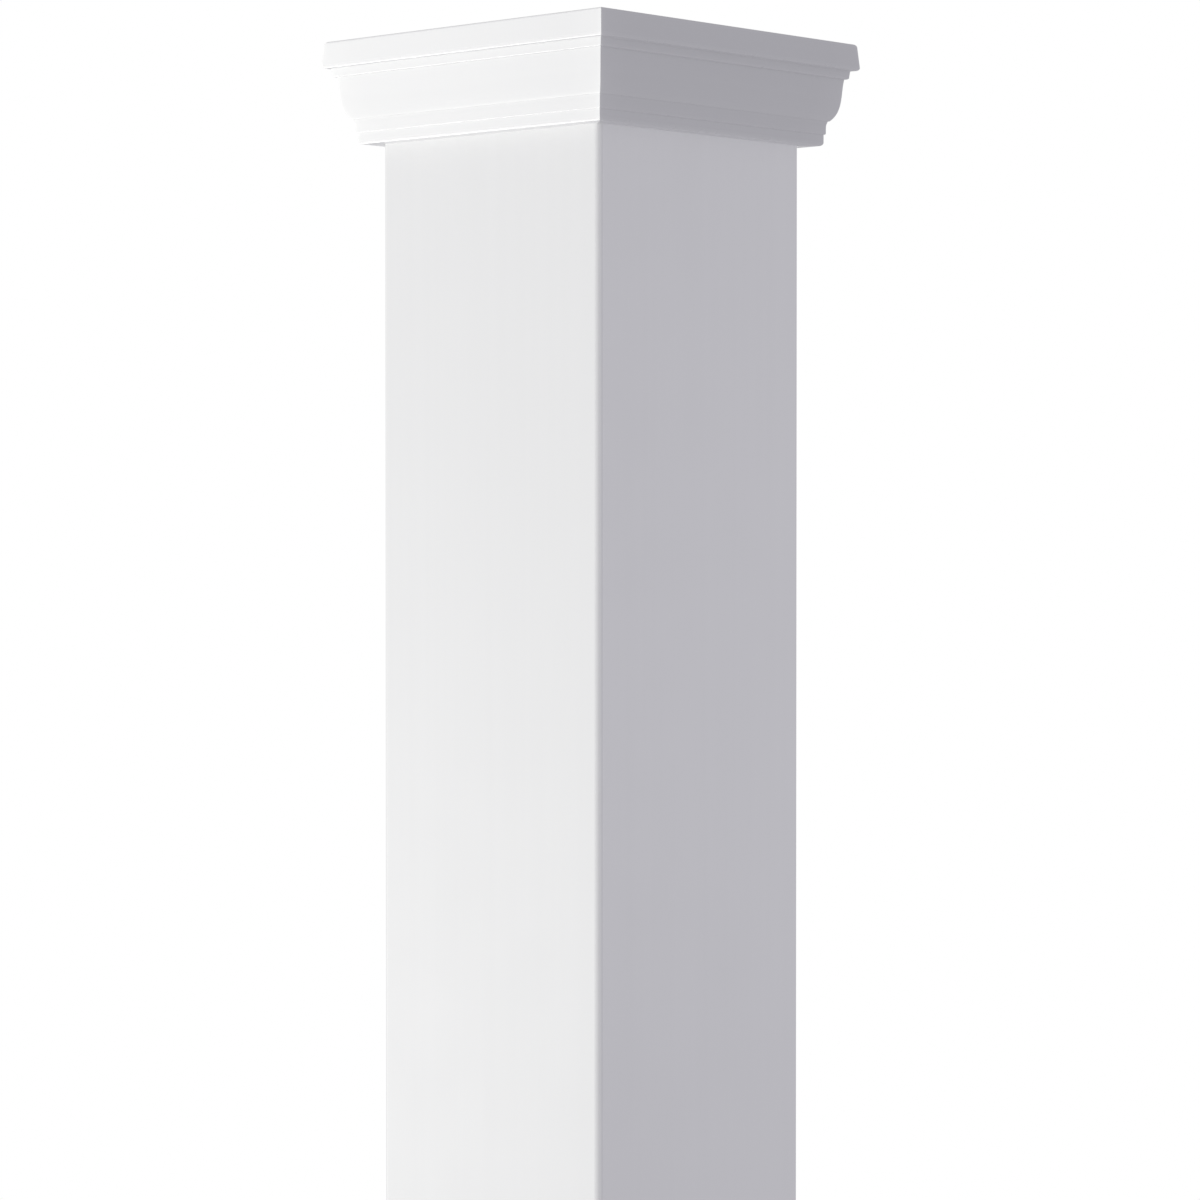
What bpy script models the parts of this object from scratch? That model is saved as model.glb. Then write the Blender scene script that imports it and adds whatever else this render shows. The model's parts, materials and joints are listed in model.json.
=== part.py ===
"""Square column: a hollow white cladding for a post, in metres, +Z up, standing on its underside.

Four identical boards, tongued and grooved at their mitred edges, make the shaft. Four mitred lengths of
crown moulding run round its head, and four mitred skirting boards round its foot. The origin is the
middle of the underside. The front faces -Y and the right side +X.
"""

import math

import bmesh
import bpy
from mathutils import Matrix, Vector
from mathutils.geometry import interpolate_bezier

# Driving sizes of the column
SHAFT_WIDTH = 0.2032
COLUMN_HEIGHT = 2.4384
BOARD_THICKNESS = 0.0127
ARRIS_RADIUS = 0.00476
JOINT_GAP = 0.0003

# Tongue on one mitred edge of each board, and the groove that takes it on the next board's edge
TONGUE_HEIGHT = 0.0026
TONGUE_ROOT_WIDTH = 0.0062
TONGUE_TIP_WIDTH = 0.0044

# Crown moulding: how far each member stands out from the shaft, and how far down its foot is
CROWN_HEIGHT = 0.0700
FASCIA_TOP_OUT = 0.0281
FASCIA_FOOT_OUT = 0.0298
FASCIA_FOOT = 0.0182
FASCIA_TOP_RADIUS = 0.0024
FASCIA_FOOT_RADIUS = 0.0019
BAND_TOP_OUT = 0.0249
BAND_FOOT_OUT = 0.0242
BAND_FOOT = 0.0241
BAND_RADIUS = 0.0012
OGEE_TOP_OUT = 0.0220
OGEE_FOOT_OUT = 0.0148
OGEE_FOOT = 0.0530
OGEE_TOP_SLOPE = math.radians(11)
OGEE_FOOT_SLOPE = math.radians(47)
OGEE_BULGE = 0.0095
COVE_TOP_OUT = 0.0140
COVE_FOOT_OUT = 0.0130
COVE_FOOT = 0.0622
COVE_BEND = 0.0027
FILLET_OUT = 0.0119
FILLET_RADIUS = 0.0009
CROWN_FOOT_RADIUS = 0.0024
INNER_CORNER_RADIUS = 0.0007

# Skirting board
SKIRTING_HEIGHT = 0.1397
SKIRTING_THICKNESS = 0.01905
SKIRTING_EDGE_RADIUS = 0.0045

# Finish: white boards with a satin skin, and a moulding that is a little smoother
BOARD_WHITE = (0.86, 0.86, 0.87)
BOARD_ROUGHNESS = 0.42
CROWN_WHITE = (0.87, 0.87, 0.88)
CROWN_ROUGHNESS = 0.38

# Fineness of the rounded stretches
ARC_STEPS = 5
OGEE_STEPS = 12
COVE_STEPS = 6
WELD_DISTANCE = 0.00001

SHAFT_HALF = SHAFT_WIDTH / 2
SIDES = ("front", "right", "back", "left")


def clear_scene():
    for item in list(bpy.data.objects):
        bpy.data.objects.remove(item, do_unlink=True)


def make_material(name, colour, roughness):
    material = bpy.data.materials.new(name)
    material.use_nodes = True
    shader = material.node_tree.nodes["Principled BSDF"]
    shader.inputs["Base Color"].default_value = (*colour, 1.0)
    shader.inputs["Roughness"].default_value = roughness
    shader.inputs["Metallic"].default_value = 0.0
    return material


def rounded_outline(corners):
    """Closed outline through corners given as (x, y, radius), each turned into an arc that is tangent
    to the two edges that meet there. A radius of 0 leaves the corner sharp."""
    points = []
    for index, (x, y, radius) in enumerate(corners):
        corner = Vector((x, y))
        if radius == 0:
            points.append(corner)
            continue
        back = (Vector(corners[index - 1][:2]) - corner).normalized()
        ahead = (Vector(corners[(index + 1) % len(corners)][:2]) - corner).normalized()
        half_angle = back.angle(ahead) / 2
        centre = corner + (back + ahead).normalized() * (radius / math.sin(half_angle))
        start = corner + back * (radius / math.tan(half_angle)) - centre
        sweep = start.angle_signed(corner + ahead * (radius / math.tan(half_angle)) - centre)
        for step in range(ARC_STEPS + 1):
            turn = Matrix.Rotation(-sweep * step / ARC_STEPS, 2)
            points.append(centre + turn @ start)
    return points


def bezier_corners(start, start_handle, end_handle, end, steps):
    """Sharp corners along a Bezier curve, for use between the rounded corners of an outline."""
    knots = [Vector((*point, 0)) for point in (start, start_handle, end_handle, end)]
    return [(point.x, point.y, 0) for point in interpolate_bezier(*knots, steps + 1)]


def extruded_outline(name, points, half_length):
    """Closed mesh of a flat outline in local XY, extruded both ways along local Z."""
    curve = bpy.data.curves.new(name, "CURVE")
    curve.dimensions = "2D"
    curve.fill_mode = "BOTH"
    curve.extrude = half_length
    spline = curve.splines.new("POLY")
    spline.points.add(len(points) - 1)
    for spline_point, point in zip(spline.points, points):
        spline_point.co = (point.x, point.y, 0, 1)
    spline.use_cyclic_u = True

    guide = bpy.data.objects.new(name, curve)
    bpy.context.scene.collection.objects.link(guide)
    evaluated = guide.evaluated_get(bpy.context.evaluated_depsgraph_get())
    mesh = bpy.data.meshes.new_from_object(evaluated)
    bpy.data.objects.remove(guide)

    work = bmesh.new()
    work.from_mesh(mesh)
    bmesh.ops.remove_doubles(work, verts=work.verts, dist=WELD_DISTANCE)
    bmesh.ops.recalc_face_normals(work, faces=work.faces)
    work.to_mesh(mesh)
    work.free()
    mesh.name = name
    return mesh


def mitre_section(side, offset):
    """Points of a mitred edge in plan, from the board's inner face to its arris, at the front board's
    right end (side 1) or left end (side -1). The end at side 1 carries the tongue. The points lie
    offset short of the true mitre plane."""
    outward = Vector((side, -1)).normalized()
    across = Vector((side, 1)).normalized()
    inner = Vector((side, -1)) * (SHAFT_HALF - BOARD_THICKNESS)
    middle = Vector((side, -1)) * (SHAFT_HALF - BOARD_THICKNESS / 2)
    clearance = 0 if side > 0 else JOINT_GAP
    root = TONGUE_ROOT_WIDTH / 2 + clearance
    tip = TONGUE_TIP_WIDTH / 2 + clearance
    rise = TONGUE_HEIGHT * side
    face = across * -offset

    points = [inner + face + outward * (-offset)]
    points.append(middle + face - outward * root)
    points.append(middle + face - outward * tip + across * rise)
    points.append(middle + face + outward * tip + across * rise)
    points.append(middle + face + outward * root)

    centre = Vector((side, -1)) * (SHAFT_HALF - ARRIS_RADIUS)
    stop = math.pi / 4 - math.asin(offset / ARRIS_RADIUS)
    for step in range(ARC_STEPS + 1):
        angle = stop * (1 - step / ARC_STEPS)
        points.append(centre + ARRIS_RADIUS * Vector((side * math.sin(angle), -math.cos(angle))))
    return points


def shaft_board_mesh():
    """The front board: its plan outline extruded to the full height, about the column's middle."""
    right_edge = mitre_section(1, JOINT_GAP / 2)
    left_edge = mitre_section(-1, JOINT_GAP / 2)
    return extruded_outline("shaft_board", right_edge + left_edge[::-1], COLUMN_HEIGHT / 2)


def crown_outline():
    """Section of the crown moulding as (distance out from the shaft, height), with the top at 0.
    From the top: a tall leaning fascia, a band, an ogee that turns under, a cove and a foot fillet."""
    ogee_start = (OGEE_TOP_OUT, -BAND_FOOT)
    ogee_end = (OGEE_FOOT_OUT, -OGEE_FOOT)
    start_handle = (
        OGEE_TOP_OUT - OGEE_BULGE * math.sin(OGEE_TOP_SLOPE),
        -BAND_FOOT - OGEE_BULGE * math.cos(OGEE_TOP_SLOPE),
    )
    end_handle = (
        OGEE_FOOT_OUT + OGEE_BULGE * math.sin(OGEE_FOOT_SLOPE),
        -OGEE_FOOT + OGEE_BULGE * math.cos(OGEE_FOOT_SLOPE),
    )
    cove_start = (COVE_TOP_OUT, -OGEE_FOOT)
    cove_end = (COVE_FOOT_OUT, -COVE_FOOT)
    cove_handle = (COVE_FOOT_OUT, -OGEE_FOOT - COVE_BEND)

    corners = [
        (JOINT_GAP, 0, 0),
        (FASCIA_TOP_OUT, 0, FASCIA_TOP_RADIUS),
        (FASCIA_FOOT_OUT, -FASCIA_FOOT, FASCIA_FOOT_RADIUS),
        (BAND_TOP_OUT, -FASCIA_FOOT, INNER_CORNER_RADIUS),
        (BAND_FOOT_OUT, -BAND_FOOT, BAND_RADIUS),
    ]
    corners += bezier_corners(ogee_start, start_handle, end_handle, ogee_end, OGEE_STEPS)
    corners += bezier_corners(cove_start, cove_handle, cove_handle, cove_end, COVE_STEPS)[:-1]
    corners += [
        (*cove_end, FILLET_RADIUS),
        (FILLET_OUT, -COVE_FOOT, 0),
        (FILLET_OUT, -CROWN_HEIGHT, CROWN_FOOT_RADIUS),
        (JOINT_GAP, -CROWN_HEIGHT, 0),
    ]
    return rounded_outline(corners)


def skirting_outline():
    """Section of the skirting board, standing on height 0, with its upper outer edge rounded."""
    face = JOINT_GAP + SKIRTING_THICKNESS
    corners = [
        (JOINT_GAP, 0, 0),
        (JOINT_GAP, SKIRTING_HEIGHT, 0),
        (face, SKIRTING_HEIGHT, SKIRTING_EDGE_RADIUS),
        (face, 0, 0),
    ]
    return rounded_outline(corners)


def mitred_length_mesh(name, outline):
    """A section run along the front of the shaft and cut off at both mitre planes."""
    reach = SHAFT_HALF + max(point.x for point in outline)
    mesh = extruded_outline(name, outline, reach)
    out, up, along = Vector((0, -1, 0)), Vector((0, 0, 1)), Vector((-1, 0, 0))
    placing = Matrix((out, up, along)).transposed().to_4x4()
    placing.translation = out * SHAFT_HALF

    work = bmesh.new()
    work.from_mesh(mesh)
    bmesh.ops.transform(work, matrix=placing, verts=work.verts)
    for side in (1, -1):
        plane_normal = Vector((side, 1, 0)).normalized()
        bmesh.ops.bisect_plane(
            work,
            geom=work.verts[:] + work.edges[:] + work.faces[:],
            dist=WELD_DISTANCE,
            plane_co=plane_normal * (-JOINT_GAP / 2),
            plane_no=plane_normal,
            clear_outer=True,
        )
        cut_edges = [edge for edge in work.edges if edge.is_boundary]
        bmesh.ops.holes_fill(work, edges=cut_edges, sides=0)
    bmesh.ops.recalc_face_normals(work, faces=work.faces)
    work.to_mesh(mesh)
    work.free()
    return mesh


def place_round_column(mesh, material, height, column, collection):
    """One object a side, all sharing the front one's mesh, turned about the column's axis."""
    mesh.materials.append(material)
    for turn, side in enumerate(SIDES):
        piece = bpy.data.objects.new(f"{mesh.name}_{side}", mesh)
        piece.location.z = height
        piece.rotation_euler.z = turn * math.pi / 2
        piece.parent = column
        collection.objects.link(piece)


def build():
    clear_scene()
    collection = bpy.data.collections.new("square_column")
    bpy.context.scene.collection.children.link(collection)
    column = bpy.data.objects.new("square_column", None)
    collection.objects.link(column)

    shaft_white = make_material("shaft_white", BOARD_WHITE, BOARD_ROUGHNESS)
    crown_white = make_material("crown_white", CROWN_WHITE, CROWN_ROUGHNESS)
    skirting_white = make_material("skirting_white", BOARD_WHITE, BOARD_ROUGHNESS)

    shaft = shaft_board_mesh()
    crown = mitred_length_mesh("crown_moulding", crown_outline())
    skirting = mitred_length_mesh("skirting_board", skirting_outline())
    place_round_column(shaft, shaft_white, COLUMN_HEIGHT / 2, column, collection)
    place_round_column(crown, crown_white, COLUMN_HEIGHT, column, collection)
    place_round_column(skirting, skirting_white, 0, column, collection)


build()
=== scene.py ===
"""Looks of the square column, laid out as an add-on and run as a script.

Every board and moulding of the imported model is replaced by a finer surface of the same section: a
profile worked out from named sizes and carried along its length. The sizes and colours are properties
of the scene, each group of pieces and the stage has an operator, and a panel in the sidebar lists them.
All lengths are in metres and +Z is up. The front of the column faces -Y and its right side +X.
"""

import json
import math

import bpy
import numpy as np
from bpy.props import FloatProperty, FloatVectorProperty, PointerProperty
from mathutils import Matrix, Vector

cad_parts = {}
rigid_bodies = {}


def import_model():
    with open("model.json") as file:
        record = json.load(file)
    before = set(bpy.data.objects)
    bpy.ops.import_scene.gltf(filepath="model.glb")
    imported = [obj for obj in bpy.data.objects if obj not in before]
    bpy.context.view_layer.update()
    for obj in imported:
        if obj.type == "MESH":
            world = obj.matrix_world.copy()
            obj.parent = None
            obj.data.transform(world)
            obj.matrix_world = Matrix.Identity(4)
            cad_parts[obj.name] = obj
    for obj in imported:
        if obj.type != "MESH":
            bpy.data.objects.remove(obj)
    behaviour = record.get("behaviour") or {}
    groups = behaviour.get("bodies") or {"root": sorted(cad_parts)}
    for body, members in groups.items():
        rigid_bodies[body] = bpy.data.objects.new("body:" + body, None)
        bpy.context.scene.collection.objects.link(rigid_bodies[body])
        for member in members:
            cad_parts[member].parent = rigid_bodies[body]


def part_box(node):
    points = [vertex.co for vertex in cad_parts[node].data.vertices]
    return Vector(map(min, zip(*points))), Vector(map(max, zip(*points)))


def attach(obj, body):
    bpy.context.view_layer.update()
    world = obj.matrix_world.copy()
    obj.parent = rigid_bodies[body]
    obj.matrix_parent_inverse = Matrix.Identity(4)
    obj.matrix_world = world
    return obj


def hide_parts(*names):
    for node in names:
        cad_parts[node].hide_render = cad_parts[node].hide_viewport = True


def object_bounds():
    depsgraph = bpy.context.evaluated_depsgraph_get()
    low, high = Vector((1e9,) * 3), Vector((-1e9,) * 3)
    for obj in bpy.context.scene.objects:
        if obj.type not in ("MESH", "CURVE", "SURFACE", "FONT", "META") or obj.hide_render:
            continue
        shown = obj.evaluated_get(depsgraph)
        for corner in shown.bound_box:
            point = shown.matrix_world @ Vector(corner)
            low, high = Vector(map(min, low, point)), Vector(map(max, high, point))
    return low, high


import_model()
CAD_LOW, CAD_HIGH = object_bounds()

bl_info = {
    "name": "Square column",
    "version": (1, 0, 0),
    "blender": (4, 5, 0),
    "location": "3D View > Sidebar > Column",
    "description": "Rebuilds the boards, crown and skirting of a square column and its studio stage",
    "category": "Object",
}

SIDES = ("front", "right", "back", "left")
PICTURE_WIDTH = 1200
SENSOR_WIDTH = 36.0

BOARD_LOW, BOARD_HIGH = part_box("shaft_board_front")
CROWN_LOW, CROWN_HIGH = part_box("crown_moulding_front")
SKIRTING_LOW, SKIRTING_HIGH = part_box("skirting_board_front")


def length_property(name, description, default):
    return FloatProperty(
        name=name, description=description, default=default, unit="LENGTH", subtype="DISTANCE", precision=5
    )


def angle_property(name, description, degrees):
    return FloatProperty(name=name, description=description, default=math.radians(degrees), subtype="ANGLE")


def share_property(name, description, default, highest=1.0):
    return FloatProperty(
        name=name, description=description, default=default, min=0.0, max=highest, subtype="FACTOR"
    )


def colour_property(name, description, default):
    return FloatVectorProperty(
        name=name, description=description, default=default, size=3, min=0.0, max=1.0, subtype="COLOR"
    )


def power_property(name, description, default):
    return FloatProperty(name=name, description=description, default=default, min=0.0, subtype="POWER")


class ShaftSizes(bpy.types.PropertyGroup):
    """The four tongued and grooved boards of the shaft."""

    half_width: length_property("Half width", "Middle of the column to the shaft's face", -BOARD_LOW.y)
    thickness: length_property("Thickness", "Thickness of a board", BOARD_HIGH.y - BOARD_LOW.y)
    arris_radius: length_property("Arris radius", "Rounding of the shaft's four upright corners", 0.00476)
    joint_gap: length_property("Joint gap", "Hairline left open in every glued mitre", 0.00005)
    tongue_height: length_property("Tongue height", "How far the tongue stands out", 0.0026)
    tongue_root: length_property("Tongue root", "Width of the tongue at its root", 0.0062)
    tongue_tip: length_property("Tongue tip", "Width of the tongue at its tip", 0.0044)


class CrownSizes(bpy.types.PropertyGroup):
    """The crown moulding. Each member has its distance out from the shaft and its foot below the top."""

    fascia_top_out: length_property("Fascia top out", "Fascia's upper edge, out from the shaft", 0.0281)
    fascia_foot_out: length_property("Fascia foot out", "Fascia's lower edge, out from the shaft", 0.02979)
    fascia_foot: length_property("Fascia foot", "Fascia's lower edge, below the top", 0.0182)
    fascia_top_radius: length_property("Fascia top radius", "Rounding of the upper edge", 0.0024)
    fascia_foot_radius: length_property("Fascia foot radius", "Rounding of the lower edge", 0.0019)
    band_top_out: length_property("Band top out", "Band's upper edge, out from the shaft", 0.0249)
    band_foot_out: length_property("Band foot out", "Band's lower edge, out from the shaft", 0.0242)
    band_foot: length_property("Band foot", "Band's lower edge, below the top", 0.0241)
    band_radius: length_property("Band radius", "Rounding of the band's lower edge", 0.0012)
    ogee_top_out: length_property("Ogee top out", "Ogee's upper end, out from the shaft", 0.0220)
    ogee_foot_out: length_property("Ogee foot out", "Ogee's lower end, out from the shaft", 0.0148)
    ogee_foot: length_property("Ogee foot", "Ogee's lower end, below the top", 0.0530)
    ogee_bulge: length_property("Ogee bulge", "Length of the ogee's curve handles", 0.0095)
    ogee_top_slope: angle_property("Ogee top slope", "Lean of the ogee's upper end from upright", 11)
    ogee_foot_slope: angle_property("Ogee foot slope", "Lean of the ogee's lower end from upright", 47)
    cove_top_out: length_property("Cove top out", "Cove's upper end, out from the shaft", 0.0140)
    cove_foot_out: length_property("Cove foot out", "Cove's lower end, out from the shaft", 0.0130)
    cove_foot: length_property("Cove foot", "Cove's lower end, below the top", 0.0622)
    cove_bend: length_property("Cove bend", "Drop within which the cove has turned upright", 0.0027)
    fillet_out: length_property("Fillet out", "Foot fillet's face, out from the shaft", 0.0119)
    fillet_radius: length_property("Fillet radius", "Rounding of the edge over the fillet", 0.0009)
    foot_radius: length_property("Foot radius", "Rounding of the crown's lowest edge", 0.0024)
    hollow_radius: length_property("Hollow radius", "Rounding of the hollow under the fascia", 0.0007)
    mitre_radius: length_property("Mitre radius", "Sanded rounding of the mitred corners", 0.0007)


class SkirtingSizes(bpy.types.PropertyGroup):
    """The plain boards round the foot."""

    height: length_property("Height", "Height of the skirting", SKIRTING_HIGH.z - SKIRTING_LOW.z)
    face_out: length_property("Face out", "Face, out from the shaft", BOARD_LOW.y - SKIRTING_LOW.y)
    edge_radius: length_property("Edge radius", "Rounding of the upper outer edge", 0.0045)
    mitre_radius: length_property("Mitre radius", "Sanded rounding of the mitred corners", 0.0010)


class Finish(bpy.types.PropertyGroup):
    """Colours and gloss of the white boards and mouldings."""

    board_white: colour_property("Board white", "Skin of the shaft and skirting", (0.845, 0.845, 0.85))
    crown_white: colour_property("Crown white", "Skin of the crown moulding", (0.89, 0.89, 0.895))
    sawn_white: colour_property("Sawn white", "Foamed core where a board is sawn", (0.80, 0.795, 0.78))
    # On ledges this is dust; in hollows it darkens as painted shade
    dust_and_shade_colour: colour_property("Dust", "Dust on ledges and in hollows", (0.50, 0.49, 0.47))
    scuff_colour: colour_property("Scuffs", "Rubbed marks on the faces", (0.55, 0.545, 0.54))
    # Whitens worn edges and sanded mitres: painted highlight as well as wear
    worn_highlight_colour: colour_property("Worn edge", "Edges rubbed bright", (0.97, 0.97, 0.97))
    board_roughness: share_property("Board roughness", "Roughness of the boards' skin", 0.40)
    crown_roughness: share_property("Crown roughness", "Roughness of the crown's skin", 0.36)
    sawn_roughness: share_property("Sawn roughness", "Roughness of sawn ends", 0.78)
    gloss_change: share_property("Gloss change", "How far roughness wanders over a skin", 0.10)
    wave_depth: length_property("Wave depth", "Depth of a skin's broad waviness", 0.00005)
    # Dust on ledges, and painted shade in hollows
    dust_and_shade_amount: share_property("Dust amount", "How thickly dust lies on ledges", 0.16)
    scuff_amount: share_property("Scuff amount", "How strongly rubbed marks show", 0.10)
    shaft_scuffs: share_property("Shaft scuffs", "Share of the scuffs that the shaft has", 0.3)
    # Edge masks and their whitening: painted highlight as well as wear
    edge_wear_and_highlight: share_property("Edge wear", "How far edges are burnished", 0.9)
    edge_highlight_whitening: share_property("Edge whitening", "How far burnishing whitens an edge", 0.35)
    pore_depth: length_property("Pore depth", "Depth of the pores in a sawn end", 0.00012)
    ridge_height: length_property("Ridge height", "Height of the ridges that the saw left", 0.00004)


class StageLook(bpy.types.PropertyGroup):
    """Floor, lights and camera."""

    floor_radius: length_property("Floor radius", "Radius of the round floor", 4.2)
    floor_fade: length_property("Floor fade", "Radius at which the floor starts to fade out", 1.6)
    floor_colour: colour_property("Floor colour", "Pale floor", (0.84, 0.84, 0.84))
    floor_mottle: share_property("Floor mottle", "Brightness of the floor's darker patches", 0.96)
    backdrop: share_property("Backdrop", "Brightness of the white backdrop", 1.0, 4.0)
    ambient: share_property("Ambient", "Light from the whole studio on the column", 0.438, 4.0)
    ambient_colour: colour_property("Ambient colour", "Cool light of the studio", (0.939, 0.926, 1.0))
    key_colour: colour_property("Key colour", "Colour of the panels on the left", (0.99, 1.0, 0.943))
    boards_key: power_property("Boards key", "Power of the left panel for the boards", 40)
    boards_glow: power_property("Boards glow", "Power of the low left panel for the boards", 15)
    boards_fill: power_property("Boards fill", "Power of the right panel for the boards", 11.9)
    fill_colour: colour_property("Fill colour", "Colour of the panel on the right", (0.975, 0.967, 1.0))
    crown_key: power_property("Crown key", "Power of the low left panel for the crown", 29.4)
    crown_wash: power_property("Crown wash", "Power of the key's twin, whose light doesn't bounce", 16.2)
    crown_top: power_property("Crown top", "Power of the high left panel for the crown", 20.0)
    crown_glint: power_property("Crown glint", "Power of the panel that shines on the crown's edges", 9.3)
    back_light: power_property("Back light", "Power of the panel behind the column", 30)
    floor_light: power_property("Floor light", "Power of the panel above the floor", 190)
    lens_pixels: FloatProperty(
        name="Lens", description="Focal length in the picture's pixels", default=3785, subtype="PIXEL"
    )
    camera_azimuth: angle_property("Camera azimuth", "Turn from the front to the right side", 43.01)
    camera_distance: length_property("Camera distance", "Camera to the column's middle line", 2.610)
    camera_drop: length_property("Camera drop", "Camera's height below the column's top", 0.3359)
    aim_drop: length_property("Aim drop", "Aimed point's height below the column's top", 0.3830)
    aim_right: length_property("Aim right", "Aimed point, right of the column's middle line", 0.0059)


PROPERTY_GROUPS = {
    "column_shaft": ShaftSizes,
    "column_crown": CrownSizes,
    "column_skirting": SkirtingSizes,
    "column_finish": Finish,
    "column_stage": StageLook,
}

# How finely arcs, curves and straight runs are drawn
ARC_STEPS = 12
CURVE_STEPS = 48
LONGEST_STEP = 0.02

# A stretch gets a support place at each of these distances from both its ends, where it is longer than
# that distance times the number under them
SUPPORTS = (0.0003, 0.0012, 0.003)
SUPPORTED_STRETCH = 4

# Even places keep this far from the ends of their stretch
EVEN_PLACE_CLEARANCE = 0.006

# Edges that turn by more than this are drawn sharp
SHARP_ANGLE = math.radians(30)

# Corners of every face that isn't a cap
QUAD = 4

# An edge this round, or sharper, gets the full arris mask, which wears it and whitens it as painted
# highlight, and a hollow this tight the full hollow mask, which darkens it with dust and painted shade
FULL_MASK_RADIUS = 0.002

# How far beside a mitre its sanding fades out
SANDED_REACH = 0.003


def unit(vectors):
    return vectors / np.linalg.norm(vectors, axis=-1, keepdims=True)


def corner_arc(before, corner, after, radius):
    """Points of the arc that is tangent to both edges of a corner. Its centre lies on the bisector, the
    radius over the sine of half the corner's angle away. The spoke from it turns evenly from one tangent
    point to the other, as the two spokes weighted with sines of the turn left and the turn done."""
    back, ahead = unit(before - corner), unit(after - corner)
    half_angle = math.acos(float(back @ ahead)) / 2
    centre = corner + unit(back + ahead) * radius / math.sin(half_angle)
    reach = radius / math.tan(half_angle)
    start = corner + back * reach - centre
    end = corner + ahead * reach - centre
    turn = math.pi - 2 * half_angle
    share = np.linspace(0, 1, ARC_STEPS + 1)[:, None]
    return centre + (np.sin((1 - share) * turn) * start + np.sin(share * turn) * end) / math.sin(turn)


def bezier(start, start_handle, end_handle, end):
    """Cubic curve: the four points weighted with the terms of ((1 - t) + t) cubed, for t from 0 to 1."""
    t = np.linspace(0, 1, CURVE_STEPS + 1)[:, None]
    weights = ((1 - t) ** 3, 3 * t * (1 - t) ** 2, 3 * t**2 * (1 - t), t**3)
    points = (start, start_handle, end_handle, end)
    return sum(weight * np.array(point) for weight, point in zip(weights, points))


def with_supports(places):
    """Places along a line, with support places close to both ends of every long stretch, which keep it
    flat when it is shaded smooth and let a mask fade out, and even places between them."""
    comb = np.arange(places[0], places[-1], LONGEST_STEP)
    stretch = np.searchsorted(places, comb, side="right") - 1
    clear = np.minimum(comb - places[stretch], places[stretch + 1] - comb) > EVEN_PLACE_CLEARANCE
    runs = [places, comb[clear]]
    for support in SUPPORTS:
        long_stretch = np.diff(places) > SUPPORTED_STRETCH * support
        runs += [places[:-1][long_stretch] + support, places[1:][long_stretch] - support]
    return np.unique(np.concatenate(runs))


def outline(stretches):
    """Closed outline from stretches, each either a corner (x, y, radius) or an array of points. A corner
    with a radius becomes an arc, and straight runs get supports."""
    firsts = [np.array(s[:2] if isinstance(s, tuple) else s[0]) for s in stretches]
    lasts = [np.array(s[:2] if isinstance(s, tuple) else s[-1]) for s in stretches]
    runs = []
    for index, stretch in enumerate(stretches):
        if not isinstance(stretch, tuple):
            runs.append(stretch)
        elif stretch[2] == 0:
            runs.append(firsts[index][None])
        else:
            after = firsts[(index + 1) % len(stretches)]
            runs.append(corner_arc(lasts[index - 1], firsts[index], after, stretch[2]))
    points = np.concatenate(runs)
    closed = np.concatenate([points, points[:1]])
    along = np.concatenate([[0], np.cumsum(np.linalg.norm(np.diff(closed, axis=0), axis=1))])
    places = with_supports(along)[:-1]
    return np.stack([np.interp(places, along, closed[:, axis]) for axis in (0, 1)], axis=1)


def bends(section):
    """Masks of a closed section's outward and inward bends: at each point the turn in radians over the
    length it happens in, times the radius of a full mask, up to 1."""
    forward = np.roll(section, -1, axis=0) - section
    backward = section - np.roll(section, 1, axis=0)
    cross = backward[:, 0] * forward[:, 1] - backward[:, 1] * forward[:, 0]
    turn = np.arctan2(cross, np.sum(backward * forward, axis=1))
    reach = (np.linalg.norm(forward, axis=1) + np.linalg.norm(backward, axis=1)) / 2
    bend = np.sign(turn.sum()) * turn / reach * FULL_MASK_RADIUS
    return np.clip(bend, 0, 1), np.clip(-bend, 0, 1)


def quarter_turn(points, turns):
    """Points turned by that many quarters of a circle about the column's middle line."""
    cos = round(math.cos(turns * math.pi / 2))
    sin = round(math.sin(turns * math.pi / 2))
    turned = points.copy()
    turned[..., 0] = cos * points[..., 0] - sin * points[..., 1]
    turned[..., 1] = sin * points[..., 0] + cos * points[..., 1]
    return turned


def signed_volume(points, walls, caps):
    """Six times the volume inside the walls and caps, with every face split into triangles from its
    first corner. It is positive where the faces point outwards."""
    quads = points[walls]
    total = 0.0
    for second, third in ((1, 2), (2, 3)):
        total += np.einsum("ij,ij->", quads[:, 0], np.cross(quads[:, second], quads[:, third]))
    for cap in caps:
        corners = points[cap]
        total += np.einsum("j,ij->", corners[0], np.cross(corners[1:-1], corners[2:]))
    return total


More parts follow.
